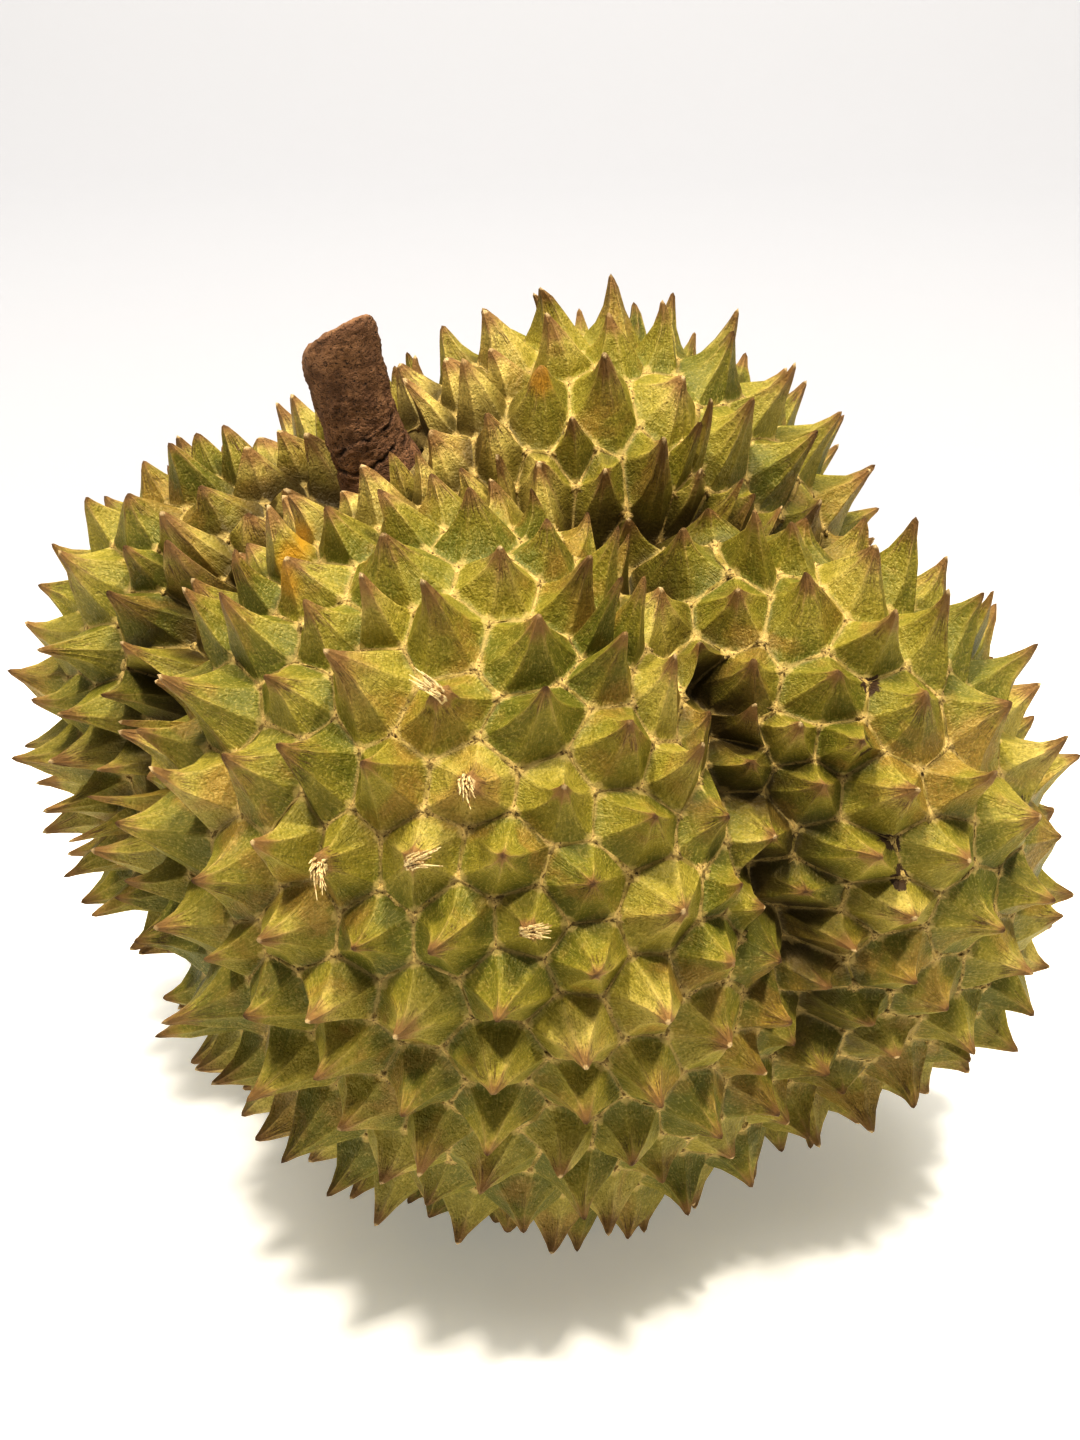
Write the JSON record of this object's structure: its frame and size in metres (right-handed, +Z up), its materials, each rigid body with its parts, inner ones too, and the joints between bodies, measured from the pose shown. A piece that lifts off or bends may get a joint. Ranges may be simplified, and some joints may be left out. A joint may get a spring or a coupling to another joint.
{
  "type": "durian",
  "caption": "Whole durian: a lobed green-yellow rind covered all over in sharp pyramid spines, with a short corky brown stem stub, resting on its lowest spines.",
  "frame": {"origin": "on the surface that the fruit stands on, under the middle of its bounding box", "axes": "+Z up, +X along the fruit's widest stretch, away from the side that the stem leans to, -Y towards the largest lobe"},
  "size_m": [0.2826, 0.2732, 0.2346],
  "materials": {
    "rind": "satin green-yellow husk with brown spine tips",
    "stem": "rough brown cork"
  },
  "bodies": {
    "root": {"rind": "rind", "stem": "stem"}
  },
  "joints": []
}
